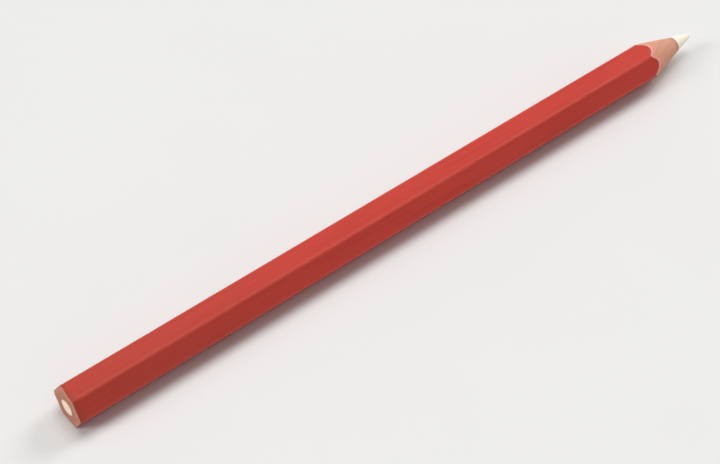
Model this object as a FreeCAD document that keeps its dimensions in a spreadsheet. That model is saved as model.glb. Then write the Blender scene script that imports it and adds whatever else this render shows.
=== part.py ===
import FreeCAD, Part
import math
import os

import Sketcher

# A hexagonal marking pencil for carpentry: a thick white core, glued into a groove between two
# wooden half-cases, under an undercoat and a red lacquer coat, and sharpened at one end.
#
# The pencil lies on one of its six flats on the plane z = 0. Its length runs along X, with the
# sharpened end towards +X, and the origin is on that flat, below the middle of the length.
# Each piece is modelled with the pencil's axis on its own X axis and the tail face at x = 0,
# and its Placement then lays it down. Lengths are in millimetres, angles in degrees.

DIMENSIONS = {
    "overall_length": 175.0,    # from the tail face to the blunt point
    "across_flats": 8.75,       # over the lacquer
    "corner_radius": 0.9,       # rounding of the six long corners, over the lacquer
    "core_diameter": 3.7,
    "glue_film": 0.1,           # between the half-cases, and between them and the core
    "undercoat_film": 0.1,
    "lacquer_film": 0.15,
    "cone_half_angle": 16.0,    # of the sharpened end
    "cone_overshoot": 1.2,      # how far the full cone would reach past the blunt point
    "point_radius": 0.4,        # rounding of the core's blunt point
    "cutter_radius": 8.0,       # outer reach of the cutting profiles, clear of the corners
}

# Expressions for the sizes that follow from the driving dimensions.
LACQUER_FLATS = "Sizes.across_flats"
LACQUER_CORNER = "Sizes.corner_radius"
UNDERCOAT_FLATS = "Sizes.across_flats - 2 * Sizes.lacquer_film"
UNDERCOAT_CORNER = "Sizes.corner_radius - Sizes.lacquer_film"
WOOD_FLATS = "Sizes.across_flats - 2 * (Sizes.lacquer_film + Sizes.undercoat_film)"
WOOD_CORNER = "Sizes.corner_radius - Sizes.lacquer_film - Sizes.undercoat_film"
CORE_DIAMETER = "Sizes.core_diameter"
GROOVE_DIAMETER = "Sizes.core_diameter + 2 * Sizes.glue_film"
HALF_GLUE = "Sizes.glue_film / 2"
CUTTER_RADIUS = "Sizes.cutter_radius"
CUTTER_LENGTH = "Sizes.cutter_radius / tan(Sizes.cone_half_angle * 1 deg)"
APEX_STATION = "Sizes.overall_length + Sizes.cone_overshoot"

# Sketcher's numbers for a curve's start, end and centre, and for the sketch's origin and X axis.
START = 1
END = 2
CENTRE = 3
ROOT = -1
HORIZONTAL_AXIS = -1

doc = FreeCAD.newDocument("marking_pencil")


def make_sheet():
    """Fill the spreadsheet with the driving dimensions, one alias each."""
    sheet = doc.addObject("Spreadsheet::Sheet", "Sizes")
    for row, (alias, value) in enumerate(DIMENSIONS.items(), start=1):
        sheet.set(f"A{row}", alias)
        sheet.set(f"B{row}", str(value))
        sheet.setAlias(f"B{row}", alias)
    doc.recompute()
    return sheet


sheet = make_sheet()


def value_of(expression):
    """The present value of an expression on the sheet, in millimetres."""
    result = sheet.evalExpression(expression.replace("Sizes.", ""))
    return float(getattr(result, "Value", result))


def make_body(label):
    """A body laid down on its flat, with the middle of its length over the origin."""
    body = doc.addObject("PartDesign::Body", label)
    body.Label = label
    body.setExpression("Placement.Base.x", "-Sizes.overall_length / 2")
    body.setExpression("Placement.Base.z", "Sizes.across_flats / 2")
    return body


def make_sketch(body, name, role):
    """A sketch on one of the body's own origin planes."""
    plane = next(item for item in body.Origin.OriginFeatures if item.Role == role)
    sketch = body.newObject("Sketcher::SketchObject", name)
    sketch.AttachmentSupport = [(plane, "")]
    sketch.MapMode = "FlatFace"
    return sketch


def bind(sketch, name, expression, kind, *references):
    """Add a dimension to the sketch and let the sheet drive it."""
    index = sketch.addConstraint(Sketcher.Constraint(kind, *references, value_of(expression)))
    sketch.renameConstraint(index, name)
    sketch.setExpression(f"Constraints.{name}", expression)


def draw_circle(sketch, name, diameter):
    """A circle about the pencil's axis."""
    radius = value_of(diameter) / 2
    circle = sketch.addGeometry(
        Part.Circle(FreeCAD.Vector(), FreeCAD.Vector(0, 0, 1), radius)
    )
    sketch.addConstraint(Sketcher.Constraint("Coincident", circle, CENTRE, ROOT, START))
    bind(sketch, name, diameter, "Diameter", circle)
    return circle


def draw_rounded_hexagon(sketch, across_flats, corner_radius):
    """A hexagon about the pencil's axis, lying on a flat, with its corners rounded."""
    apothem = value_of(across_flats) / 2
    radius = value_of(corner_radius)
    half_flat = (apothem - radius) * math.tan(math.radians(30))
    corner_centre = (apothem - radius) / math.cos(math.radians(30))

    inscribed = draw_circle(sketch, "across_flats", across_flats)
    sketch.setConstruction(inscribed, True)

    flats = []
    corners = []
    for side in range(6):
        normal_angle = math.radians(30 + 60 * side)
        normal = FreeCAD.Vector(math.cos(normal_angle), math.sin(normal_angle), 0)
        along = FreeCAD.Vector(-normal.y, normal.x, 0)
        middle = normal * apothem
        flat = Part.LineSegment(middle - along * half_flat, middle + along * half_flat)
        flats.append(sketch.addGeometry(flat))

        corner_angle = normal_angle + math.radians(30)
        direction = FreeCAD.Vector(math.cos(corner_angle), math.sin(corner_angle), 0)
        round_edge = Part.Circle(direction * corner_centre, FreeCAD.Vector(0, 0, 1), radius)
        next_normal_angle = normal_angle + math.radians(60)
        arc = Part.ArcOfCircle(round_edge, normal_angle, next_normal_angle)
        corners.append(sketch.addGeometry(arc))

    for side in range(6):
        next_flat = flats[(side + 1) % 6]
        sketch.addConstraint(
            Sketcher.Constraint("Tangent", flats[side], END, corners[side], START)
        )
        sketch.addConstraint(Sketcher.Constraint("Tangent", corners[side], END, next_flat, START))
        sketch.addConstraint(Sketcher.Constraint("Tangent", flats[side], inscribed))
    for side in range(1, 6):
        sketch.addConstraint(Sketcher.Constraint("Equal", flats[0], flats[side]))
        sketch.addConstraint(Sketcher.Constraint("Equal", corners[0], corners[side]))
    top_flat = flats[1]
    sketch.addConstraint(Sketcher.Constraint("Horizontal", top_flat))
    bind(sketch, "corner_radius", corner_radius, "Radius", corners[0])


def draw_polygon(sketch, points):
    """Straight lines from point to point and back to the first one, joined at their ends."""
    lines = []
    for start, end in zip(points, points[1:] + points[:1]):
        line = Part.LineSegment(FreeCAD.Vector(*start, 0), FreeCAD.Vector(*end, 0))
        lines.append(sketch.addGeometry(line))
    for line, next_line in zip(lines, lines[1:] + lines[:1]):
        sketch.addConstraint(Sketcher.Constraint("Coincident", line, END, next_line, START))
    return lines


def pad_full_length(body, sketch):
    """Extrude the sketch from the tail face over the whole length."""
    pad = body.newObject("PartDesign::Pad", f"{body.Name}_pad")
    pad.Profile = sketch
    pad.setExpression("Length", "Sizes.overall_length")
    sketch.Visibility = False
    doc.recompute()


def check_removed(body, cut, volume_before):
    """Stop if a cut took nothing away, as one that points away from the solid does."""
    if body.Shape.Volume >= volume_before:
        raise RuntimeError(f"{cut.Name} removed no material")


def cut_full_length(body, sketch, name):
    """Cut the sketch's profile out of the body over the whole length."""
    volume_before = body.Shape.Volume
    cut = body.newObject("PartDesign::Pocket", f"{body.Name}_{name}")
    cut.Profile = sketch
    cut.setExpression("Length", "Sizes.overall_length")
    cut.Reversed = True
    doc.recompute()
    check_removed(body, cut, volume_before)


def pad_barrel(body, across_flats, corner_radius):
    """A rounded hexagonal bar of the pencil's length."""
    sketch = make_sketch(body, f"{body.Name}_outline", "YZ_Plane")
    draw_rounded_hexagon(sketch, across_flats, corner_radius)
    pad_full_length(body, sketch)


def hollow_barrel(body, across_flats, corner_radius):
    """Cut a rounded hexagonal passage through the body."""
    sketch = make_sketch(body, f"{body.Name}_inner_outline", "YZ_Plane")
    draw_rounded_hexagon(sketch, across_flats, corner_radius)
    cut_full_length(body, sketch, "hollow")


def bore_axis(body, diameter):
    """Cut a round passage along the pencil's axis."""
    sketch = make_sketch(body, f"{body.Name}_bore_outline", "YZ_Plane")
    draw_circle(sketch, "bore", diameter)
    cut_full_length(body, sketch, "bore")


def remove_below_joint(body):
    """Cut away everything below the upper face of the glue film."""
    reach = value_of(CUTTER_RADIUS)
    joint = value_of(HALF_GLUE)
    sketch = make_sketch(body, f"{body.Name}_joint_outline", "YZ_Plane")
    points = [(-reach, joint), (reach, joint), (reach, -reach), (-reach, -reach)]
    joint_edge, right_edge, bottom_edge, left_edge = draw_polygon(sketch, points)
    for line in (joint_edge, bottom_edge):
        sketch.addConstraint(Sketcher.Constraint("Horizontal", line))
    for line in (right_edge, left_edge):
        sketch.addConstraint(Sketcher.Constraint("Vertical", line))
    bind(sketch, "joint", HALF_GLUE, "DistanceY", ROOT, START, joint_edge, START)
    bind(sketch, "reach_left", CUTTER_RADIUS, "DistanceX", joint_edge, START, ROOT, START)
    bind(sketch, "reach_right", CUTTER_RADIUS, "DistanceX", ROOT, START, joint_edge, END)
    bind(sketch, "reach_down", CUTTER_RADIUS, "DistanceY", bottom_edge, START, ROOT, START)
    cut_full_length(body, sketch, "joint_cut")


def keep_glue_section(body):
    """Cut away the wood's place, leaving the flat film and a round sleeve about the axis."""
    reach = value_of(CUTTER_RADIUS)
    film = value_of(HALF_GLUE)
    sleeve = value_of(GROOVE_DIAMETER) / 2
    meeting = math.sqrt(sleeve**2 - film**2)
    sketch = make_sketch(body, f"{body.Name}_wood_outline", "YZ_Plane")

    points = [(-meeting, film), (-reach, film), (-reach, reach), (reach, reach), (reach, film)]
    points.append((meeting, film))
    left_film, left_edge, top_edge, right_edge, right_film, bridge = draw_polygon(sketch, points)
    sketch.setConstruction(bridge, True)
    circle = Part.Circle(FreeCAD.Vector(), FreeCAD.Vector(0, 0, 1), sleeve)
    arc_start = math.atan2(film, meeting)
    arc = sketch.addGeometry(Part.ArcOfCircle(circle, arc_start, math.pi - arc_start))

    sketch.addConstraint(Sketcher.Constraint("Coincident", right_film, END, arc, START))
    sketch.addConstraint(Sketcher.Constraint("Coincident", arc, END, left_film, START))
    sketch.addConstraint(Sketcher.Constraint("Coincident", arc, CENTRE, ROOT, START))
    for line in (left_film, top_edge, right_film):
        sketch.addConstraint(Sketcher.Constraint("Horizontal", line))
    for line in (left_edge, right_edge):
        sketch.addConstraint(Sketcher.Constraint("Vertical", line))
    bind(sketch, "left_film", HALF_GLUE, "DistanceY", ROOT, START, left_film, START)
    bind(sketch, "right_film", HALF_GLUE, "DistanceY", ROOT, START, right_film, START)
    bind(sketch, "sleeve", f"({GROOVE_DIAMETER}) / 2", "Radius", arc)
    bind(sketch, "reach_left", CUTTER_RADIUS, "DistanceX", left_edge, START, ROOT, START)
    bind(sketch, "reach_right", CUTTER_RADIUS, "DistanceX", ROOT, START, right_edge, START)
    bind(sketch, "reach_up", CUTTER_RADIUS, "DistanceY", ROOT, START, top_edge, START)
    cut_full_length(body, sketch, "upper_cut")

    volume_before = body.Shape.Volume
    upper_cut = body.Tip
    lower_cut = body.newObject("PartDesign::Mirrored", f"{body.Name}_lower_cut")
    lower_cut.Originals = [upper_cut]
    joint_plane = next(item for item in body.Origin.OriginFeatures if item.Role == "XY_Plane")
    lower_cut.MirrorPlane = (joint_plane, [""])
    body.Tip = lower_cut
    doc.recompute()
    check_removed(body, lower_cut, volume_before)


def sharpen(body):
    """Turn the +X end down to the cone that a sharpener leaves."""
    reach = value_of(CUTTER_RADIUS)
    apex_station = value_of(APEX_STATION)
    back_station = apex_station - value_of(CUTTER_LENGTH)
    sketch = make_sketch(body, f"{body.Name}_cone_outline", "XZ_Plane")
    points = [(apex_station, 0), (apex_station, reach), (back_station, reach)]
    front_edge, outer_edge, cone_edge = draw_polygon(sketch, points)
    sketch.addConstraint(
        Sketcher.Constraint("PointOnObject", front_edge, START, HORIZONTAL_AXIS)
    )
    sketch.addConstraint(Sketcher.Constraint("Vertical", front_edge))
    sketch.addConstraint(Sketcher.Constraint("Horizontal", outer_edge))
    bind(sketch, "apex", APEX_STATION, "DistanceX", ROOT, START, front_edge, START)
    bind(sketch, "reach", CUTTER_RADIUS, "DistanceY", front_edge, START, front_edge, END)
    bind(sketch, "cone_length", CUTTER_LENGTH, "DistanceX", outer_edge, END, outer_edge, START)

    volume_before = body.Shape.Volume
    groove = body.newObject("PartDesign::Groove", f"{body.Name}_sharpening")
    groove.Profile = sketch
    groove.ReferenceAxis = (sketch, ["H_Axis"])
    groove.Angle = 360
    sketch.Visibility = False
    doc.recompute()
    check_removed(body, groove, volume_before)


def round_point(body):
    """Blunt the rim of the small flat that the sharpened core ends in."""
    tip_station = value_of("Sizes.overall_length")
    base = body.Tip
    rim = None
    for number, edge in enumerate(base.Shape.Edges, start=1):
        stations = [vertex.X for vertex in edge.Vertexes]
        if all(abs(station - tip_station) < 1e-6 for station in stations):
            rim = f"Edge{number}"
    fillet = body.newObject("PartDesign::Fillet", f"{body.Name}_point")
    fillet.Base = (base, [rim])
    fillet.setExpression("Radius", "Sizes.point_radius")
    doc.recompute()


def make_marking_core():
    """The white core: a round rod that ends in the exposed, blunt-pointed cone."""
    body = make_body("marking_core")
    sketch = make_sketch(body, "marking_core_outline", "YZ_Plane")
    draw_circle(sketch, "core", CORE_DIAMETER)
    pad_full_length(body, sketch)
    sharpen(body)
    round_point(body)
    return body


def make_slat(label):
    """One half of the wooden case, from the joint up, with its half-round groove."""
    body = make_body(label)
    pad_barrel(body, WOOD_FLATS, WOOD_CORNER)
    remove_below_joint(body)
    bore_axis(body, GROOVE_DIAMETER)
    sharpen(body)
    return body


def make_lower_slat():
    """The other half of the case: the same piece turned over."""
    body = make_slat("lower_slat")
    body.Placement.Rotation = FreeCAD.Rotation(FreeCAD.Vector(1, 0, 0), 180)
    return body


def make_glue_line():
    """The glue: a flat film out to two of the barrel's corners, and a sleeve round the core."""
    body = make_body("glue_line")
    pad_barrel(body, WOOD_FLATS, WOOD_CORNER)
    keep_glue_section(body)
    bore_axis(body, CORE_DIAMETER)
    sharpen(body)
    return body


def make_coat(label, outer_flats, outer_corner, inner_flats, inner_corner):
    """One coat: a thin hexagonal tube whose sharpened edge is cut in scallops by the cone."""
    body = make_body(label)
    pad_barrel(body, outer_flats, outer_corner)
    hollow_barrel(body, inner_flats, inner_corner)
    sharpen(body)
    return body


def check_document():
    """Stop if any object of the document failed to build."""
    for item in doc.Objects:
        if "Invalid" in item.State or "Error" in item.State:
            raise RuntimeError(f"{item.Name} failed: {item.State}")


def export(bodies):
    """Write each piece to its own STEP file, named after the piece."""
    os.makedirs("parts", exist_ok=True)
    for body in bodies:
        shape = body.Shape
        if shape.isNull() or not shape.isValid() or len(shape.Solids) != 1:
            raise RuntimeError(f"{body.Label} is not one valid solid")
        shape.exportStep(f"parts/{body.Label}.step")
        print(f"{body.Label}: {shape.Volume:.2f} mm3")


pieces = [
    make_marking_core(),
    make_slat("upper_slat"),
    make_lower_slat(),
    make_glue_line(),
    make_coat("undercoat", UNDERCOAT_FLATS, UNDERCOAT_CORNER, WOOD_FLATS, WOOD_CORNER),
    make_coat("red_lacquer", LACQUER_FLATS, LACQUER_CORNER, UNDERCOAT_FLATS, UNDERCOAT_CORNER),
]
doc.recompute()
check_document()
export(pieces)
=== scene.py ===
import math
import random

import bmesh
import bpy
import numpy as np
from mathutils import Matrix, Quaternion, Vector, noise


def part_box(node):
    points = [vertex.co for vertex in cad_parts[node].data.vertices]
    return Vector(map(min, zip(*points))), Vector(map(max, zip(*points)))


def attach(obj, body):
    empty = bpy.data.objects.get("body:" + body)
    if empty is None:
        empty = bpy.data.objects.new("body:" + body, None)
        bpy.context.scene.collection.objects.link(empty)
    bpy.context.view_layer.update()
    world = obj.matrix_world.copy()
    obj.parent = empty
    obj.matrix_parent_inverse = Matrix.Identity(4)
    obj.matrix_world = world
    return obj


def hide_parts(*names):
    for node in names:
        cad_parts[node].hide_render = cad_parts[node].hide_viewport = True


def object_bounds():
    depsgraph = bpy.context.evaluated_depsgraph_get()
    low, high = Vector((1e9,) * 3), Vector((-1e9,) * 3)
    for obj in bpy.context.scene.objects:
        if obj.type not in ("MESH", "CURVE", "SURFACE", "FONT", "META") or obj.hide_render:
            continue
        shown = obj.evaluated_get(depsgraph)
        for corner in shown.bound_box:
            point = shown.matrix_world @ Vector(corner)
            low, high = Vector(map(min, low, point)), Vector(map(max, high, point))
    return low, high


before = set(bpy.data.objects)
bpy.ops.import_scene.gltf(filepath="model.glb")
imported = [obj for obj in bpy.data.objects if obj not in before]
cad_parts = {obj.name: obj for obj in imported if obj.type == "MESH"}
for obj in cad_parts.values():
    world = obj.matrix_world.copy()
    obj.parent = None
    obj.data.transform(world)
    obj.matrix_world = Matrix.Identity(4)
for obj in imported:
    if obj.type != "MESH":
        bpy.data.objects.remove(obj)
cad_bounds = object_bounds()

# A hexagonal marking pencil: white core, glued wooden case, undercoat and red lacquer, lying on a
# pale floor. Shapes are worked out in millimetres in the frame's axes (X along the pencil towards
# its point, Z up) and become metres when a mesh is made.

MM = 0.001

# ---------------------------------------------------------------------------------------------
# Sizes read from the frame
# ---------------------------------------------------------------------------------------------


def edges_of(node):
    """A CAD node's lowest and highest corners, in millimetres."""
    low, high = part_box(node)
    return Vector(low) / MM, Vector(high) / MM


def height_of(node):
    """How far a CAD node reaches from bottom to top, in millimetres."""
    low, high = edges_of(node)
    return high.z - low.z


TAIL = cad_bounds[0].x / MM
TIP = cad_bounds[1].x / MM
AXIS_HEIGHT = height_of("red_lacquer") / 2
LACQUER_FLATS = height_of("red_lacquer")
UNDERCOAT_FLATS = height_of("undercoat")
WOOD_FLATS = 2 * (edges_of("upper_slat")[1].z - AXIS_HEIGHT)
CORE_RADIUS = height_of("marking_core") / 2
GROOVE_RADIUS = height_of("glue_line") / 2
HALF_GLUE = edges_of("upper_slat")[0].z - AXIS_HEIGHT

LACQUER_CORNER = 0.9  # rounding of the six long corners, over the lacquer
UNDERCOAT_CORNER = LACQUER_CORNER - (LACQUER_FLATS - UNDERCOAT_FLATS) / 2
WOOD_CORNER = LACQUER_CORNER - (LACQUER_FLATS - WOOD_FLATS) / 2

# The sharpened cone runs through the front ends of the lacquer's inner side and of the glue.
LACQUER_FRONT = edges_of("red_lacquer")[1].x
GLUE_FRONT = edges_of("glue_line")[1].x
CONE_SLOPE = (UNDERCOAT_FLATS / 2 - CORE_RADIUS) / (GLUE_FRONT - LACQUER_FRONT)
APEX = GLUE_FRONT + CORE_RADIUS / CONE_SLOPE

# ---------------------------------------------------------------------------------------------
# Form of the pencil
# ---------------------------------------------------------------------------------------------

BEVEL_DEPTH = 0.55      # how deep the worn rim of the tail reaches in from the flats
BEVEL_LENGTH = 0.2      # how far it reaches along the barrel
POINT_BELLY = 0.1       # how far the worn point bulges beyond the cut cone
POINT_ROUNDING = 0.45   # length of the point's rounded end
GLUE_RECESS = 0.02      # how far, along X, the glue ends short of the cone and of the tail
FLAT_HALF_ANGLE = 24.6  # degrees either side of a flat's middle to where its corner starts
SIXTH = math.pi / 3     # of a turn, in radians
SEED_STEP = 31.7        # how far apart noises of different seeds are read, in grains


def outline_angles(per_flat, per_corner):
    """Angles about the axis, from +Y towards +Z, closer together round the six corners."""
    angles = []
    for side in range(6):
        middle = 30 + 60 * side
        first, last = middle - FLAT_HALF_ANGLE, middle + FLAT_HALF_ANGLE
        next_first = first + 60
        angles.extend(np.linspace(first, last, per_flat, endpoint=False))
        angles.extend(np.linspace(last, next_first, per_corner, endpoint=False))
    return np.radians(np.array(angles))


def hexagon_radius(angles, across_flats, corner_radius):
    """Distance from the axis to a hexagon lying on a flat, its corners rounded."""
    apothem = across_flats / 2
    off_flat = angles % SIXTH - SIXTH / 2
    off_corner = SIXTH / 2 - np.abs(off_flat)
    straight = apothem / np.cos(off_flat)
    reach = apothem - corner_radius
    centre = reach / math.cos(SIXTH / 2)
    inside = np.maximum(corner_radius**2 - (centre * np.sin(off_corner)) ** 2, 0)
    rounded = centre * np.cos(off_corner) + np.sqrt(inside)
    flat_end = math.atan(reach * math.tan(SIXTH / 2) / apothem)
    return np.where(np.abs(off_flat) < flat_end, straight, rounded)


def lacquer_radius(angles):
    """Distance from the axis to the outside of the lacquer."""
    return hexagon_radius(angles, LACQUER_FLATS, LACQUER_CORNER)


def undercoat_radius(angles):
    """Distance from the axis to where the undercoat meets the lacquer."""
    return hexagon_radius(angles, UNDERCOAT_FLATS, UNDERCOAT_CORNER)


def wood_radius(angles):
    """Distance from the axis to where the wood meets the undercoat."""
    return hexagon_radius(angles, WOOD_FLATS, WOOD_CORNER)


def cone_station(radius):
    """Where along X the sharpened cone has this radius."""
    return APEX - radius / CONE_SLOPE


def point_radius(back):
    """Radius of the exposed core at a distance back from its very end: a cone worn blunt."""
    cone = (APEX - TIP + back) * CONE_SLOPE
    exposed = CORE_RADIUS / CONE_SLOPE - (APEX - TIP)
    belly = POINT_BELLY * np.sin(math.pi * np.sqrt(back / exposed))
    share = np.clip(back / POINT_ROUNDING, 0, 1)
    return (cone + belly) * np.sqrt(1 - (1 - share) ** 2)


def tail_station(radius, angles):
    """Where along X the tail's face, with its worn rim, has this radius."""
    depth = lacquer_radius(angles) - radius
    worn = np.clip(1 - depth / BEVEL_DEPTH, 0, 1)
    return TAIL + BEVEL_LENGTH * worn


def smooth_step(value, start, end):
    """0 up to start, 1 from end on, and a soft change between them."""
    share = np.clip((value - start) / (end - start), 0, 1)
    return share * share * (3 - 2 * share)


def fade_out(value, start, end):
    """1 up to start, 0 from end on, and a soft change between them."""
    return 1 - smooth_step(value, start, end)


def surface_noise(x, radius, angles, along, around, seed):
    """Smooth noise from -1 to 1 on the surface, with one grain size along X and one around."""
    shape = np.broadcast(x, radius, angles).shape
    xs = np.broadcast_to(x, shape) / along + SEED_STEP * seed
    ys = radius * np.cos(angles) / around + np.zeros(shape)
    zs = radius * np.sin(angles) / around + np.zeros(shape)
    values = [noise.noise(point) for point in zip(xs.flat, ys.flat, zs.flat)]
    return np.array(values).reshape(shape)


# ---------------------------------------------------------------------------------------------
# Mesh making
# ---------------------------------------------------------------------------------------------


def to_points(x, radius, angles):
    """Cylindrical coordinates about the pencil's axis, as points in millimetres."""
    shape = np.broadcast(x, radius, angles).shape
    points = np.empty(shape + (3,))
    points[..., 0] = x
    points[..., 1] = radius * np.cos(angles)
    points[..., 2] = AXIS_HEIGHT + radius * np.sin(angles)
    return points


def grid_faces(rows, columns, close_rows, close_columns):
    """Quads between neighbouring rows and columns of a grid of points."""
    faces = []
    for row in range(rows if close_rows else rows - 1):
        for column in range(columns if close_columns else columns - 1):
            next_row = (row + 1) % rows
            next_column = (column + 1) % columns
            faces.append(
                (
                    row * columns + column,
                    row * columns + next_column,
                    next_row * columns + next_column,
                    next_row * columns + column,
                )
            )
    return faces


def make_object(name, points, faces, marks, crease_degrees):
    """A closed mesh object from points in millimetres.

    marks are values kept at each point. A fold sharper than crease_degrees is shown as an edge.
    """
    mesh = bpy.data.meshes.new(name)
    mesh.from_pydata((points.reshape(-1, 3) * MM).tolist(), [], faces)
    for mark, values in marks.items():
        layer = mesh.attributes.new(mark, "FLOAT", "POINT")
        layer.data.foreach_set("value", np.ascontiguousarray(values, dtype=np.float32).ravel())
    shape = bmesh.new()
    shape.from_mesh(mesh)
    bmesh.ops.recalc_face_normals(shape, faces=shape.faces)
    shape.to_mesh(mesh)
    shape.free()
    mesh.shade_smooth()
    mesh.set_sharp_from_angle(angle=math.radians(crease_degrees))
    piece = bpy.data.objects.new(name, mesh)
    bpy.context.collection.objects.link(piece)
    return piece


def stand_for(piece, node):
    """The piece is shown in place of the CAD node and rides where it rides."""
    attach(piece, "root")
    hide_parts(node)


# ---------------------------------------------------------------------------------------------
# The coats: undercoat and red lacquer
# ---------------------------------------------------------------------------------------------

COAT_POINTS = (24, 14)  # points across each flat and round each corner
COAT_CREASE = 35        # degrees
INNER_ROWS = 14         # rows of points along the inside
ROW_STEP = 1.1          # between the rows of points along the outside
ROW_START = 3.4         # how far in from either end they start
END_ROWS = (0, 0.08, 0.16, 0.28, 0.42, 0.6, 0.85, 1.2, 1.7, 2.4)  # closer rows, nearer the end
CUT_ROWS = (0.15, 0.4, 0.7, 1.0)  # rows down the coat's cut front edge, in shares of the film
RIM_ROWS = (0.4, 0.75)  # rows back out over its worn tail edge

LACQUER_SETBACK = 0.42     # how far its front edge has chipped back in the middle of each flat
LACQUER_RAGGEDNESS = 0.1   # how far its two edges stray along X
UNDERCOAT_SETBACK = 0.12
UNDERCOAT_RAGGEDNESS = 0.04

# How the two edges of a coat fray, in shares of its raggedness: a fine waver with chips between.
WAVER_DEPTH = 0.5
FRONT_FRAY = {"waver_grain": 0.22, "chip_grain": 0.7, "chip_start": 0.2, "chip_depth": 0.8}
TAIL_FRAY = {"waver_grain": 0.3, "chip_grain": 0.9, "chip_start": 0.15, "chip_depth": 1.2}
FRAY_GRAIN_ALONG = 9.0
TAIL_OVERHANG = 0.05    # the furthest that the tail's edge stands out

FLAKE_PLACE = math.radians(66)   # where round the tail a flake of paint has come off
FLAKE_SPREAD = math.radians(30)
FLAKE_DEPTH = 4.5                # times the coat's raggedness

# How far in from its edge each kind of wear moves the coat's points in full, and not at all.
FRONT_FADE = (0.05, 1.2)
TAIL_FADE = (0.05, 0.9)
FLAKE_FADE = (0.1, 3.4)

UNEVENNESS = 0.01         # of the lacquer's surface
UNEVEN_GRAIN = (14.0, 3.0)
UNEVEN_SEED = 3
SMOOTH_END = 0.004        # share of the barrel at either end over which unevenness dies away

DENT_COUNT = 16           # small knocks along the lacquer's corners
DENT_SEED = 7
DENTS_FROM_TAIL = 3       # how far from the tail they start
DENTS_FROM_FRONT = 6      # how far short of the lacquer's front they stop
DENT_DEPTHS = (0.02, 0.06)
DENT_WIDTHS = (0.4, 1.1)


def barrel_shares():
    """Shares of the barrel's length, close together at its two ends."""
    length = LACQUER_FRONT - TAIL
    ends = np.array(END_ROWS)
    middle = np.arange(ROW_START, length - ROW_START, ROW_STEP)
    return np.concatenate([ends, middle, length - ends[::-1]]) / length


def make_dents():
    """Small knocks along the corners: station, corner angle, depth and width in millimetres."""
    draw = random.Random(DENT_SEED)
    dents = []
    for _ in range(DENT_COUNT):
        station = draw.uniform(TAIL + DENTS_FROM_TAIL, LACQUER_FRONT - DENTS_FROM_FRONT)
        corner = SIXTH * draw.randrange(6)
        depth = draw.uniform(*DENT_DEPTHS)
        width = draw.uniform(*DENT_WIDTHS)
        dents.append((station, corner, depth, width))
    return dents


def dent_depth(x, radius, angles):
    """How far the knocks press the surface in."""
    total = np.zeros(x.shape)
    for station, corner, depth, width in make_dents():
        around = (angles - corner + math.pi) % (2 * math.pi) - math.pi
        distance = np.hypot(x - station, radius * around)
        total += depth * np.exp(-((distance / width) ** 2))
    return total


def handling(x, radius, angles):
    """How far the lacquer lies in from the ideal shape: slow unevenness, and small knocks."""
    wave = surface_noise(x, radius, angles, *UNEVEN_GRAIN, UNEVEN_SEED)
    return UNEVENNESS * (1 - wave) + dent_depth(x, radius, angles)


def no_press(x, radius, angles):
    """The undercoat keeps its ideal shape."""
    return 0.0


def fray(station, outer, angles, seed, waver_grain, chip_grain, chip_start, chip_depth):
    """How far back an edge is worn at each angle, in shares of the coat's raggedness."""
    waver = surface_noise(station, outer, angles, FRAY_GRAIN_ALONG, waver_grain, seed)
    chips = surface_noise(station, outer, angles, FRAY_GRAIN_ALONG, chip_grain, seed + 1)
    return WAVER_DEPTH * waver + chip_depth * np.maximum(chips - chip_start, 0)


def wear_ends(x, tail, front, outer, angles, raggedness, seed):
    """Move the coat's points in from its two frayed edges, and from the flake at the tail."""
    front_wear = raggedness * fray(front, outer, angles, seed, **FRONT_FRAY)
    tail_wear = raggedness * fray(tail, outer, angles, seed + 2, **TAIL_FRAY)
    tail_wear = np.maximum(tail_wear, -TAIL_OVERHANG)
    flake = np.exp(-(((angles - FLAKE_PLACE) / FLAKE_SPREAD) ** 2))
    x = x - front_wear * fade_out(front - x, *FRONT_FADE)
    x = x + tail_wear * fade_out(x - tail, *TAIL_FADE)
    return x + FLAKE_DEPTH * raggedness * flake * fade_out(x - tail, *FLAKE_FADE)


def make_coat(name, outer, inner, angles, setback, raggedness, press, seed):
    """One coat: a thin tube over the barrel, cut in scallops by the cone and worn at the tail.

    setback is how far its front edge has chipped back from the cone in the middle of each flat.
    raggedness is how far its two edges stray along the pencil.
    press gives how far its outer surface is pressed in from the ideal shape.
    """
    corner = 1 - np.abs((angles + SIXTH / 2) % SIXTH - SIXTH / 2) / (SIXTH / 2)
    retreat = setback * np.sqrt(1 - corner)
    tail = tail_station(outer, angles)
    front = cone_station(outer) - retreat

    shares = barrel_shares()[:, None]
    x_outer = tail + shares * (front - tail)
    inside_ends = smooth_step(shares, 0, SMOOTH_END) * fade_out(shares, 1 - SMOOTH_END, 1)
    r_outer = outer - inside_ends * press(x_outer, outer, angles)

    cut_shares = np.array(CUT_ROWS)[:, None]
    r_cut = outer + cut_shares * (inner - outer)
    x_cut = cone_station(r_cut) - retreat

    inner_shares = np.linspace(1, 0, INNER_ROWS)[1:, None]
    inner_tail = tail_station(inner, angles)
    x_inner = inner_tail + inner_shares * (cone_station(inner) - retreat - inner_tail)
    r_inner = inner + np.zeros(x_inner.shape)

    rim_shares = np.array(RIM_ROWS)[:, None]
    r_rim = inner + rim_shares * (outer - inner)
    x_rim = tail_station(r_rim, angles)

    x = np.concatenate([x_outer, x_cut, x_inner, x_rim])
    x = wear_ends(x, tail, front, outer, angles, raggedness, seed)
    radius = np.concatenate([r_outer, r_cut, r_inner, r_rim])
    film = np.concatenate([np.zeros(x_outer.shape), outer - r_cut, outer - r_inner, outer - r_rim])
    marks = {
        "corner": corner + np.zeros(x.shape),
        "film": film / (outer - inner),
        "from_tail": x - TAIL,
    }
    points = to_points(x, radius, angles)
    faces = grid_faces(*x.shape, True, True)
    return make_object(name, points, faces, marks, COAT_CREASE)


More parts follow.
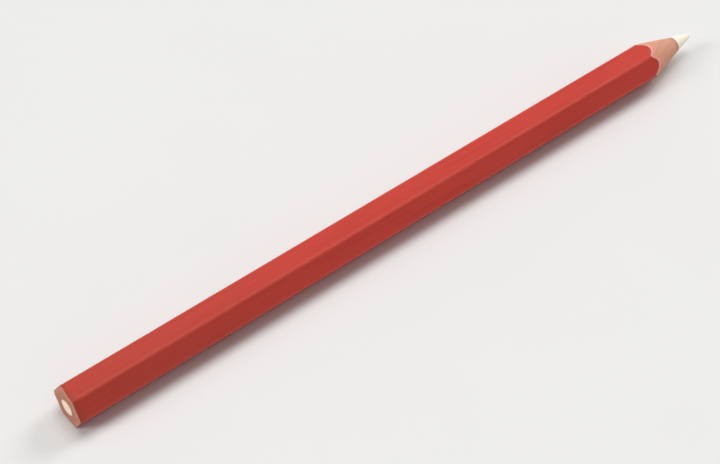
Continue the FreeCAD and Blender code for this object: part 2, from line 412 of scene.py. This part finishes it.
def make_lacquer():
    """The red outer coat, chipped back in lobes along the cone, with the knocks of use."""
    angles = outline_angles(*COAT_POINTS)
    piece = make_coat(
        "lacquer_coat",
        lacquer_radius(angles),
        undercoat_radius(angles),
        angles,
        setback=LACQUER_SETBACK,
        raggedness=LACQUER_RAGGEDNESS,
        press=handling,
        seed=5,
    )
    stand_for(piece, "red_lacquer")
    return piece


def make_undercoat():
    """The salmon primer beneath it, which shows past the lacquer's edge as a thin line."""
    angles = outline_angles(*COAT_POINTS)
    piece = make_coat(
        "undercoat_layer",
        undercoat_radius(angles),
        wood_radius(angles),
        angles,
        setback=UNDERCOAT_SETBACK,
        raggedness=UNDERCOAT_RAGGEDNESS,
        press=no_press,
        seed=11,
    )
    stand_for(piece, "undercoat")
    return piece


# ---------------------------------------------------------------------------------------------
# The wooden case
# ---------------------------------------------------------------------------------------------

WOOD_POINTS = (26, 16)     # points across each flat and round each corner
WOOD_CREASE = 40           # degrees
JOINT_CLEARANCE = 1.5      # times the glue's half angle: no point lies nearer to the joint
FACE_ROWS = 22             # rows of points out over the tail's face
WORN_ROWS = 5              # over its worn rim
BARREL_ROWS = 12           # along the barrel
CONE_ROWS = 96             # down the cone
GROOVE_ROWS = 12           # back along the groove

FACE_RECESS = 0.02         # how far in from the tail's plane the sawn face lies
SAW_DEPTH = 0.012          # its relief, fine and coarse alike
FINE_SAW_GRAIN = 0.35
COARSE_SAW_GRAIN = 1.6

CONE_RECESS = 0.006        # how far in from the ideal cone the cut face lies
BLADE_DEPTH = 0.004        # its relief: ridges left by the sharpener's blade
BLADE_PITCH = 0.62
BLADE_SWAY = 1.5
FIBRE_DEPTH = 0.014        # raised fibres
FIBRE_GRAIN = (2.6, 0.16)
HOLLOW_DEPTH = 0.014       # slow hollows
HOLLOW_GRAIN = (4.0, 1.4)
WOOD_FACE_END = (0.8, 1.2)  # how far in from the tail the end grain's colour stops


def half_angles(side):
    """Angles round one half of the case, from joint to joint.

    Points next to the joint are left out, because cutting the joint flat would fold them over.
    """
    angles = outline_angles(*WOOD_POINTS)
    clear = JOINT_CLEARANCE * math.asin(HALF_GLUE / GROOVE_RADIUS)
    between = angles[(angles > clear) & (angles < math.pi - clear)]
    angles = np.concatenate([[0.0], between, [math.pi]])
    return angles if side > 0 else angles + math.pi


def cone_relief(x, radius, angles, seed):
    """How far the sharpened wood stands off the ideal cone."""
    blade = np.sin(2 * math.pi * x / BLADE_PITCH + angles + BLADE_SWAY * np.sin(3 * angles))
    fibres = surface_noise(x, radius, angles, *FIBRE_GRAIN, seed)
    hollows = surface_noise(x, radius, angles, *HOLLOW_GRAIN, seed + 1)
    return -CONE_RECESS + BLADE_DEPTH * blade + FIBRE_DEPTH * fibres + HOLLOW_DEPTH * hollows


def make_half_case(name, node, side, seed):
    """Half of the case: the upper one for side 1, the lower one, turned over, for side -1."""
    angles = half_angles(side)
    outer = wood_radius(angles)
    rim = lacquer_radius(angles) - BEVEL_DEPTH

    face_shares = np.linspace(0, 1, FACE_ROWS)[:, None]
    r_face = GROOVE_RADIUS + face_shares * (rim - GROOVE_RADIUS)
    fine = surface_noise(0.0, r_face, angles, 1.0, FINE_SAW_GRAIN, seed)
    coarse = surface_noise(0.0, r_face, angles, 1.0, COARSE_SAW_GRAIN, seed + 1)
    x_face = TAIL + FACE_RECESS + SAW_DEPTH * fine + SAW_DEPTH * coarse

    rim_shares = np.linspace(0, 1, WORN_ROWS)[1:, None]
    r_rim = rim + rim_shares * (outer - rim)
    x_rim = tail_station(r_rim, angles)

    along_shares = np.linspace(0, 1, BARREL_ROWS)[1:-1, None]
    barrel_tail = tail_station(outer, angles)
    x_barrel = barrel_tail + along_shares * (cone_station(outer) - barrel_tail)
    r_barrel = outer + np.zeros(x_barrel.shape)

    cone_shares = np.linspace(0, 1, CONE_ROWS)[:, None]
    r_cone = outer + cone_shares * (GROOVE_RADIUS - outer)
    x_cone = cone_station(r_cone)
    r_cone = r_cone + cone_relief(x_cone, r_cone, angles, seed + 2)

    groove_shares = np.linspace(1, 0, GROOVE_ROWS)[1:-1, None]
    groove_length = cone_station(GROOVE_RADIUS) - TAIL
    x_groove = TAIL + groove_shares * groove_length + np.zeros(angles.shape)
    r_groove = GROOVE_RADIUS + np.zeros(x_groove.shape)

    x = np.concatenate([x_face, x_rim, x_barrel, x_cone, x_groove])
    radius = np.concatenate([r_face, r_rim, r_barrel, r_cone, r_groove])
    points = to_points(x, radius, angles)
    height = side * (points[..., 2] - AXIS_HEIGHT)
    points[..., 2] = AXIS_HEIGHT + side * np.maximum(height, HALF_GLUE)

    marks = {
        "from_paint": (outer - radius) / CONE_SLOPE,
        "from_core": (radius - GROOVE_RADIUS) / CONE_SLOPE,
        "on_tail": fade_out(x - TAIL, *WOOD_FACE_END),
    }
    rows, columns = x.shape
    faces = grid_faces(rows, columns, True, False)
    for joint_column in (0, columns - 1):
        faces.append(tuple(row * columns + joint_column for row in range(rows)))
    piece = make_object(name, points, faces, marks, WOOD_CREASE)
    stand_for(piece, node)
    return piece


# ---------------------------------------------------------------------------------------------
# The glue
# ---------------------------------------------------------------------------------------------

SLEEVE_POINTS = 49  # round each half of the sleeve
GLUE_ROWS = 14
GLUE_CREASE = 30    # degrees


def glue_section():
    """Angles and radii round the glue's outside: a sleeve with a flat wing to either side."""
    reach = float(wood_radius(0.0))
    edge = math.asin(HALF_GLUE / reach)
    root = math.asin(HALF_GLUE / GROOVE_RADIUS)
    sleeve = np.linspace(root, math.pi - root, SLEEVE_POINTS)
    above = np.concatenate([[edge], sleeve, [math.pi - edge]])
    radii = np.concatenate([[reach], np.full(sleeve.size, GROOVE_RADIUS), [reach]])
    return np.concatenate([above, above + math.pi]), np.concatenate([radii, radii])


def glue_stations(radii, shares):
    """Where along X the film's points lie at these radii, from the tail to the cone."""
    tail = tail_station(radii, 0.0) + GLUE_RECESS
    front = cone_station(radii) - GLUE_RECESS
    return tail + shares * (front - tail)


def make_glue():
    """One film: the sleeve round the core, and the wings that reach out to the barrel's corners."""
    angles, outside = glue_section()
    inside = np.full(angles.size, CORE_RADIUS)
    shares = np.linspace(0, 1, GLUE_ROWS)[:, None]
    x_outside = glue_stations(outside, shares)
    x_inside = glue_stations(inside, shares)
    x = np.concatenate([x_outside, x_inside[::-1]])
    radius = np.concatenate([outside + np.zeros(x_outside.shape), inside + np.zeros(x_inside.shape)])
    points = to_points(x, radius, angles)
    faces = grid_faces(*x.shape, True, True)
    piece = make_object("glue_joint", points, faces, {}, GLUE_CREASE)
    stand_for(piece, "glue_line")
    return piece


# ---------------------------------------------------------------------------------------------
# The white core
# ---------------------------------------------------------------------------------------------

CORE_POINTS = 132          # round the core
CORE_CREASE = 40           # degrees
CORE_FACE_ROWS = 14        # rows of points out over the tail's face
ROD_ROWS = 14              # along the rod
CORE_CONE_ROWS = 64        # down the exposed cone
POINT_ROWS = 13            # round the blunt end
CORE_SEED = 41

HUB_RADIUS = 0.06          # of the small face in the middle of the tail's face
CORE_FACE_ROUNDING = 0.05  # how far in from the rod's side the tail's face stops
CORE_FACE_RECESS = 0.035   # how far in from the tail's plane it lies
ROD_RECESS = 0.09          # and how far in the rod's side starts
GRIT_DEPTH = 0.02          # relief of the sawn face
GRIT_GRAIN = 0.22

SCORE_DEPTH = 0.004        # relief of the exposed cone: scores left by the blade
SCORE_PITCH = 0.5
CRUMB_DEPTH = 0.01         # fine crumbs
CRUMB_GRAIN = (0.35, 0.3)
DIMPLE_DEPTH = 0.015       # slow dimples
DIMPLE_GRAIN = (1.6, 1.0)
CORE_FACE_END = (0.5, 1.0)  # how far in from the tail the sawn face's colour stops


def core_relief(x, radius, angles):
    """How far the exposed cone stands off its ideal shape."""
    scores = np.sin(2 * math.pi * x / SCORE_PITCH + angles)
    crumbs = surface_noise(x, radius, angles, *CRUMB_GRAIN, CORE_SEED + 2)
    dimples = surface_noise(x, radius, angles, *DIMPLE_GRAIN, CORE_SEED + 3)
    return SCORE_DEPTH * scores + CRUMB_DEPTH * crumbs + DIMPLE_DEPTH * dimples


def make_core():
    """A round rod, nearly flush with the tail, that ends in an exposed cone worn blunt."""
    angles = np.linspace(0, 2 * math.pi, CORE_POINTS, endpoint=False)
    around = np.zeros(angles.shape)

    face_radii = np.linspace(HUB_RADIUS, CORE_RADIUS - CORE_FACE_ROUNDING, CORE_FACE_ROWS)
    r_face = face_radii[:, None] + around
    grit = surface_noise(0.0, r_face, angles, 1.0, GRIT_GRAIN, CORE_SEED)
    x_face = TAIL + CORE_FACE_RECESS + GRIT_DEPTH * grit

    rod_shares = np.linspace(0, 1, ROD_ROWS)[:, None]
    rod_front = cone_station(CORE_RADIUS)
    rod_tail = TAIL + ROD_RECESS
    x_rod = rod_tail + rod_shares * (rod_front - rod_tail) + around
    r_rod = CORE_RADIUS + np.zeros(x_rod.shape)

    back = np.linspace(TIP - rod_front, POINT_ROUNDING, CORE_CONE_ROWS)[1:, None] + around
    x_cone = TIP - back
    r_cone = point_radius(back)
    r_cone = r_cone + core_relief(x_cone, r_cone, angles)

    turns = np.linspace(0, math.pi / 2, POINT_ROWS)[1:-1, None]
    back = POINT_ROUNDING * (1 - np.sin(turns)) + around
    x_point = TIP - back
    r_point = point_radius(back)

    x = np.concatenate([x_face, x_rod, x_cone, x_point])
    radius = np.concatenate([r_face, r_rod, r_cone, r_point])
    points = to_points(x, radius, angles)
    marks = {"on_tail": fade_out(x - TAIL, *CORE_FACE_END)}
    rows, columns = x.shape
    faces = grid_faces(rows, columns, False, True)
    for end_row in (0, rows - 1):
        faces.append(tuple(end_row * columns + column for column in range(columns)))
    piece = make_object("white_core", points, faces, marks, CORE_CREASE)
    stand_for(piece, "marking_core")
    return piece


# ---------------------------------------------------------------------------------------------
# Materials
# ---------------------------------------------------------------------------------------------


class Recipe:
    """A material's nodes, wired by short calls. Sizes in its textures are in millimetres."""

    def __init__(self, name):
        self.material = bpy.data.materials.new(name)
        self.material.use_nodes = True
        self.nodes = self.material.node_tree.nodes
        self.links = self.material.node_tree.links
        self.shader = self.nodes["Principled BSDF"]
        place = self.nodes.new("ShaderNodeTexCoord").outputs["Object"]
        self.place = self.scaled(place, (1 / MM, 1 / MM, 1 / MM))

    def feed(self, socket, value):
        """Wires an output into the socket, or sets the socket to a plain value."""
        if isinstance(value, bpy.types.NodeSocket):
            self.links.new(value, socket)
        else:
            socket.default_value = value

    def scaled(self, vector, factors):
        """The vector with its X, Y and Z each multiplied by its own factor."""
        node = self.nodes.new("ShaderNodeVectorMath")
        node.operation = "MULTIPLY"
        self.feed(node.inputs[0], vector)
        node.inputs[1].default_value = factors
        return node.outputs["Vector"]

    def grains(self, size):
        """The place on the pencil, measured in grains of this size along X, Y and Z."""
        return self.scaled(self.place, tuple(1 / length for length in size))

    def noise(self, size, detail, roughness=0.5):
        """Soft patches of the given size along X, Y and Z: about 0.3 to 0.7, 0.5 on average."""
        node = self.nodes.new("ShaderNodeTexNoise")
        self.feed(node.inputs["Vector"], self.grains(size))
        node.inputs["Scale"].default_value = 1.0
        node.inputs["Detail"].default_value = detail
        node.inputs["Roughness"].default_value = roughness
        return node.outputs["Fac"]

    def cells(self, size):
        """Distance to the nearest of many scattered points, in grains."""
        node = self.nodes.new("ShaderNodeTexVoronoi")
        self.feed(node.inputs["Vector"], self.grains(size))
        node.inputs["Scale"].default_value = 1.0
        return node.outputs["Distance"]

    def rings(self, pith, spacing, wobble):
        """Growth rings about a line along X through pith (Y, Z): 0 to 1 across each ring."""
        away = self.nodes.new("ShaderNodeVectorMath")
        away.operation = "SUBTRACT"
        self.feed(away.inputs[0], self.place)
        away.inputs[1].default_value = (0, pith[0], pith[1])
        across = self.scaled(away.outputs["Vector"], (0.0, 1.0, 1.0))
        length = self.nodes.new("ShaderNodeVectorMath")
        length.operation = "LENGTH"
        self.feed(length.inputs[0], across)
        count = self.maths("DIVIDE", length.outputs["Value"], spacing)
        return self.maths("FRACT", self.maths("ADD", count, wobble))

    def mark(self, name):
        """A value kept at each point of the mesh."""
        node = self.nodes.new("ShaderNodeAttribute")
        node.attribute_name = name
        return node.outputs["Fac"]

    def maths(self, operation, first, second=0.0):
        """One step of arithmetic; an operation on a single number ignores the second."""
        node = self.nodes.new("ShaderNodeMath")
        node.operation = operation
        self.feed(node.inputs[0], first)
        self.feed(node.inputs[1], second)
        return node.outputs["Value"]

    def ramp(self, value, start, end, low=0.0, high=1.0):
        """low up to start, high from end on, and a soft change between them."""
        node = self.nodes.new("ShaderNodeMapRange")
        node.interpolation_type = "SMOOTHSTEP"
        self.feed(node.inputs["Value"], value)
        node.inputs["From Min"].default_value = start
        node.inputs["From Max"].default_value = end
        node.inputs["To Min"].default_value = low
        node.inputs["To Max"].default_value = high
        return node.outputs["Result"]

    def blend(self, share, first, second):
        """A colour between first, at share 0, and second, at share 1."""
        node = self.nodes.new("ShaderNodeMix")
        node.data_type = "RGBA"
        self.feed(node.inputs["Factor"], share)
        self.feed(node.inputs["A"], first)
        self.feed(node.inputs["B"], second)
        return node.outputs["Result"]

    def finish(self, colour, roughness, height, depth, **constants):
        """Wires the shader. depth is how many millimetres a height of 1 stands up."""
        bump = self.nodes.new("ShaderNodeBump")
        bump.inputs["Distance"].default_value = depth * MM
        self.feed(bump.inputs["Height"], height)
        self.feed(self.shader.inputs["Base Color"], colour)
        self.feed(self.shader.inputs["Roughness"], roughness)
        self.feed(self.shader.inputs["Normal"], bump.outputs["Normal"])
        for socket, value in constants.items():
            self.shader.inputs[socket.replace("_", " ")].default_value = value
        return self.material


# Colours are linear red, green and blue, with an alpha of 1.
RED = (0.56, 0.043, 0.027, 1)
DEEP_RED = (0.51, 0.037, 0.022, 1)
# Partly wear, partly painted sheen: paler red for the corners.
RUB_AND_SHEEN_RED = (0.58, 0.100, 0.072, 1)
# Painted shade: darker red for the lacquer's cut edges.
SHADED_CUT_RED = (0.34, 0.026, 0.019, 1)
# Painted shade: the darker red laid on towards the tail.
TAIL_SHADE_RED = (0.36, 0.042, 0.022, 1)
# Painted shade: the lacquer is painted darker towards the tail. The broad layer stands in for the
# light falling off along the barrel, the narrow one for the shade on the tail's rounded edge. Each
# layer of it starts to fade at the first distance from the tail, in millimetres, and is gone at the
# second; then comes its strength.
TAIL_SHADE_LAYERS = (
    (5.0, 80.0, 0.4),
    (0.4, 2.0, 0.8),
)
SALMON = (0.84, 0.30, 0.23, 1)
PALE_SALMON = (0.84, 0.38, 0.29, 1)
DULL_SALMON = (0.56, 0.21, 0.16, 1)
DULL_PRIMER_END = (2.0, 4.0)  # how far from the tail the primer's duller colour stops, in mm


def lacquer_material():
    """Satin red lacquer; the wood's grain shows through as very faint lengthwise streaks."""
    recipe = Recipe("red_lacquer_paint")
    streaks = recipe.noise((24.0, 0.5, 0.5), detail=2.0)
    patches = recipe.noise((26.0, 4.0, 4.0), detail=2.0)
    orange_peel = recipe.noise((0.8, 0.6, 0.6), detail=1.0)
    dust = recipe.noise((0.25, 0.25, 0.25), detail=2.0)
    scuffs = recipe.noise((2.5, 0.5, 0.5), detail=4.0, roughness=0.7)

    tone = recipe.maths("MULTIPLY", recipe.maths("ADD", streaks, patches), 0.5)
    colour = recipe.blend(recipe.ramp(tone, 0.40, 0.62), RED, DEEP_RED)
    # Partly wear and partly painted sheen: the rounded corners are painted paler where the lacquer
    # is rubbed, and this also stands in for the highlight along them.
    on_corner = recipe.ramp(recipe.mark("corner"), 0.78, 0.97)
    rub_and_sheen = recipe.maths("MULTIPLY", on_corner, recipe.ramp(scuffs, 0.35, 0.75, 0.2, 0.7))
    colour = recipe.blend(rub_and_sheen, colour, RUB_AND_SHEEN_RED)
    from_tail = recipe.mark("from_tail")
    # Painted shade: darker towards the tail, in layers.
    for start, end, strength in TAIL_SHADE_LAYERS:
        tail_shade = recipe.ramp(from_tail, start, end, strength, 0.0)
        colour = recipe.blend(tail_shade, colour, TAIL_SHADE_RED)
    # Painted shade: the cut edges of the lacquer, at the cone and at the tail, are painted darker.
    cut = recipe.ramp(recipe.mark("film"), 0.05, 0.30)
    colour = recipe.blend(cut, colour, SHADED_CUT_RED)

    grit = recipe.maths("ADD", scuffs, recipe.maths("MULTIPLY", dust, 0.3))
    roughness = recipe.ramp(grit, 0.4, 0.95, 0.34, 0.50)
    grain = recipe.maths("MULTIPLY", streaks, 0.4)
    height = recipe.maths("ADD", grain, recipe.maths("MULTIPLY", orange_peel, 0.15))
    return recipe.finish(colour, roughness, height, depth=0.015, Specular_IOR_Level=0.25)


def undercoat_material():
    """Matt salmon primer, only seen as a thin line at the two ends."""
    recipe = Recipe("salmon_undercoat")
    patches = recipe.noise((0.8, 0.5, 0.5), detail=3.0)
    colour = recipe.blend(recipe.ramp(patches, 0.35, 0.65), SALMON, PALE_SALMON)
    on_tail = recipe.ramp(recipe.mark("from_tail"), *DULL_PRIMER_END, 1.0, 0.0)
    colour = recipe.blend(on_tail, colour, DULL_SALMON)
    roughness = recipe.ramp(patches, 0.3, 0.7, 0.55, 0.75)
    return recipe.finish(colour, roughness, patches, depth=0.02)


EARLY_WOOD = (0.70, 0.335, 0.215, 1)
LATE_WOOD = (0.60, 0.27, 0.165, 1)
PINK_STAIN = (0.76, 0.29, 0.205, 1)
SAWN_WOOD = (0.40, 0.170, 0.105, 1)
STAINED_END = (0.55, 0.215, 0.155, 1)
DARK_RIM = (0.50, 0.23, 0.19, 1)
RING_SPACING = 1.15
UPPER_PITH = (-9.0, -14.0)  # where the growth rings of each half centre, in Y and Z
LOWER_PITH = (7.0, 16.0)
STAIN_ON_CONE = 1.9         # how far the paint's stain has crept into the wood, in mm along X
STAIN_ON_TAIL = 3.7


def wood_material(name, pith):
    """Cedar-like wood: growth rings and fibres, cut smooth on the cone and sawn at the tail."""
    recipe = Recipe(name)
    sway = recipe.noise((18.0, 2.5, 2.5), detail=2.0)
    rings = recipe.rings(pith, RING_SPACING, sway)
    late = recipe.maths("MULTIPLY", recipe.ramp(rings, 0.35, 0.85), recipe.ramp(rings, 1.0, 0.90))
    fibres = recipe.noise((5.0, 0.14, 0.14), detail=3.0, roughness=0.6)
    patches = recipe.noise((4.0, 1.5, 1.5), detail=2.0)
    pores = recipe.ramp(recipe.cells((3.0, 0.22, 0.22)), 0.10, 0.24, 1.0, 0.0)

    streak = recipe.maths("MULTIPLY", recipe.ramp(fibres, 0.35, 0.65), 0.35)
    share = recipe.maths("ADD", recipe.maths("MULTIPLY", late, 0.35), streak)
    colour = recipe.blend(share, EARLY_WOOD, LATE_WOOD)
    colour = recipe.blend(recipe.maths("MULTIPLY", pores, 0.30), colour, LATE_WOOD)
    sawn = recipe.ramp(patches, 0.2, 0.7, 0.8, 1.0)
    on_tail = recipe.mark("on_tail")
    colour = recipe.blend(recipe.maths("MULTIPLY", on_tail, sawn), colour, SAWN_WOOD)
    further = recipe.maths("MULTIPLY", on_tail, STAIN_ON_TAIL - STAIN_ON_CONE)
    reach = recipe.maths("ADD", STAIN_ON_CONE, further)
    stain_width = recipe.maths("MULTIPLY", recipe.maths("ADD", patches, fibres), reach)
    stain = recipe.maths("DIVIDE", recipe.mark("from_paint"), stain_width)
    stain_colour = recipe.blend(on_tail, PINK_STAIN, STAINED_END)
    colour = recipe.blend(recipe.ramp(stain, 1.0, 0.2, 0.0, 0.85), colour, stain_colour)
    rim = recipe.ramp(recipe.mark("from_core"), 1.0, 0.05, 0.0, 0.7)
    on_cone = recipe.maths("SUBTRACT", 1.0, on_tail)
    colour = recipe.blend(recipe.maths("MULTIPLY", rim, on_cone), colour, DARK_RIM)

    roughness = recipe.ramp(fibres, 0.3, 0.7, 0.58, 0.76)
    height = recipe.maths("SUBTRACT", fibres, recipe.maths("MULTIPLY", pores, 0.5))
    return recipe.finish(colour, roughness, height, depth=0.035, Specular_IOR_Level=0.35)


GLUE_AMBER = (0.50, 0.25, 0.16, 1)
GLUE_BROWN = (0.38, 0.17, 0.12, 1)


def glue_material():
    """Set wood glue, amber brown and a little glossy."""
    recipe = Recipe("set_glue")
    patches = recipe.noise((0.6, 0.3, 0.3), detail=2.0)
    colour = recipe.blend(recipe.ramp(patches, 0.3, 0.7), GLUE_AMBER, GLUE_BROWN)
    roughness = recipe.ramp(patches, 0.3, 0.7, 0.35, 0.55)
    return recipe.finish(colour, roughness, patches, depth=0.01)


CHALK_WHITE = (1.0, 0.89, 0.75, 1)
CHALK_SHADE = (0.99, 0.83, 0.67, 1)
CHALK_DUST = (0.85, 0.68, 0.52, 1)
SAWN_CHALK = (1.0, 0.68, 0.50, 1)


def core_material():
    """Dense white marking chalk and wax, a little translucent, with a few specks of wood dust."""
    recipe = Recipe("white_marking_core")
    patches = recipe.noise((1.2, 0.8, 0.8), detail=3.0)
    powder = recipe.noise((0.12, 0.12, 0.12), detail=2.0)
    specks = recipe.ramp(recipe.cells((0.55, 0.55, 0.55)), 0.05, 0.13, 1.0, 0.0)
    scores = recipe.noise((0.09, 3.0, 3.0), detail=1.0)
    colour = recipe.blend(recipe.ramp(patches, 0.35, 0.70), CHALK_WHITE, CHALK_SHADE)
    colour = recipe.blend(recipe.maths("MULTIPLY", specks, 0.5), colour, CHALK_DUST)
    sawn = recipe.ramp(patches, 0.3, 0.7, 0.5, 0.9)
    sawn_face = recipe.maths("MULTIPLY", recipe.mark("on_tail"), sawn)
    colour = recipe.blend(sawn_face, colour, SAWN_CHALK)
    roughness = recipe.ramp(powder, 0.3, 0.7, 0.55, 0.72)
    height = recipe.maths("ADD", powder, recipe.maths("MULTIPLY", scores, 0.6))
    return recipe.finish(
        colour,
        roughness,
        height,
        depth=0.02,
        Subsurface_Weight=0.35,
        Subsurface_Radius=(1.0, 0.85, 0.7),
        Subsurface_Scale=0.0006,
    )


PAPER = (0.79, 0.785, 0.775, 1)
PAPER_SHADE = (0.77, 0.765, 0.755, 1)


def floor_material():
    """Plain, very pale, matt."""
    recipe = Recipe("studio_paper")
    mottle = recipe.noise((40.0, 40.0, 40.0), detail=2.0)
    colour = recipe.blend(mottle, PAPER, PAPER_SHADE)
    roughness = recipe.ramp(mottle, 0.3, 0.7, 0.85, 0.9)
    return recipe.finish(colour, roughness, mottle, depth=0.001)


# ---------------------------------------------------------------------------------------------
# Floor, light and camera
# ---------------------------------------------------------------------------------------------

FLOOR_SIZE = 4000  # mm
AMBIENT = 0.36     # brightness of the surround overhead
HORIZON = 0.80     # its brightness round the horizon, where the floor ends
HORIZON_HEIGHTS = (5, 9)  # degrees up, between which the one fades into the other
# Each light: the direction that it comes from, how many degrees across it looks, and its strength.
LIGHTS = {
    "key": ((100, 155, 640), 36, 1.17),
    "tail_fill": ((-85, 26, 55), 24, 1.1),
    "point_fill": ((84, 12, 60), 24, 1.02),
}

# Lengths in millimetres, angles in degrees.
CAMERA_TARGET = (-12.43, 0.03, 4.375)
CAMERA_AZIMUTH = 40.25   # how far the view direction turns from +Y towards +X
CAMERA_ELEVATION = 48.91
CAMERA_DISTANCE = 426.84
CAMERA_ROLL = 1.64
CAMERA_LENS = 99.37
CAMERA_SENSOR = 36
CAMERA_NEAREST = 10      # the closest thing that it can see


def make_floor():
    """A flat sheet that the pencil lies on."""
    half = FLOOR_SIZE / 2 * MM
    mesh = bpy.data.meshes.new("floor")
    corners = [(-half, -half, 0), (half, -half, 0), (half, half, 0), (-half, half, 0)]
    mesh.from_pydata(corners, [], [(0, 1, 2, 3)])
    mesh.materials.append(floor_material())
    floor = bpy.data.objects.new("floor", mesh)
    bpy.context.collection.objects.link(floor)


def make_light():
    """A white surround, paler round the horizon, and broad soft light from above and both ends."""
    world = bpy.data.worlds.new("studio")
    world.use_nodes = True
    nodes, links = world.node_tree.nodes, world.node_tree.links
    upward = nodes.new("ShaderNodeSeparateXYZ")
    links.new(nodes.new("ShaderNodeTexCoord").outputs["Generated"], upward.inputs["Vector"])
    fade = nodes.new("ShaderNodeMapRange")
    fade.interpolation_type = "SMOOTHSTEP"
    links.new(upward.outputs["Z"], fade.inputs["Value"])
    fade.inputs["From Min"].default_value = math.sin(math.radians(HORIZON_HEIGHTS[0]))
    fade.inputs["From Max"].default_value = math.sin(math.radians(HORIZON_HEIGHTS[1]))
    fade.inputs["To Min"].default_value = HORIZON
    fade.inputs["To Max"].default_value = AMBIENT
    background = nodes["Background"]
    background.inputs["Color"].default_value = (1, 1, 1, 1)
    links.new(fade.outputs["Result"], background.inputs["Strength"])
    bpy.context.scene.world = world

    for name, (direction, spread, strength) in LIGHTS.items():
        light = bpy.data.lights.new(name, "SUN")
        light.angle = math.radians(spread)
        light.energy = strength
        holder = bpy.data.objects.new(name, light)
        holder.rotation_euler = Vector(direction).to_track_quat("Z", "Y").to_euler()
        bpy.context.collection.objects.link(holder)


def make_camera():
    """The photograph's viewpoint."""
    azimuth, elevation = math.radians(CAMERA_AZIMUTH), math.radians(CAMERA_ELEVATION)
    forward = Vector(
        (
            math.sin(azimuth) * math.cos(elevation),
            math.cos(azimuth) * math.cos(elevation),
            -math.sin(elevation),
        )
    )
    lens = bpy.data.cameras.new("camera")
    lens.lens = CAMERA_LENS
    lens.sensor_width = CAMERA_SENSOR
    lens.clip_start = CAMERA_NEAREST * MM
    camera = bpy.data.objects.new("camera", lens)
    camera.location = (Vector(CAMERA_TARGET) - forward * CAMERA_DISTANCE) * MM
    turn = Quaternion((0, 0, 1), math.radians(CAMERA_ROLL))
    camera.rotation_euler = (forward.to_track_quat("-Z", "Y") @ turn).to_euler()
    bpy.context.collection.objects.link(camera)
    bpy.context.scene.camera = camera


# ---------------------------------------------------------------------------------------------
# Making
# ---------------------------------------------------------------------------------------------

make_lacquer().data.materials.append(lacquer_material())
make_undercoat().data.materials.append(undercoat_material())
upper = make_half_case("upper_case_half", "upper_slat", side=1, seed=21)
upper.data.materials.append(wood_material("upper_wood", UPPER_PITH))
lower = make_half_case("lower_case_half", "lower_slat", side=-1, seed=21)
lower.data.materials.append(wood_material("lower_wood", LOWER_PITH))
make_glue().data.materials.append(glue_material())
make_core().data.materials.append(core_material())

make_floor()
make_light()
make_camera()
bpy.context.scene.view_settings.view_transform = "Standard"
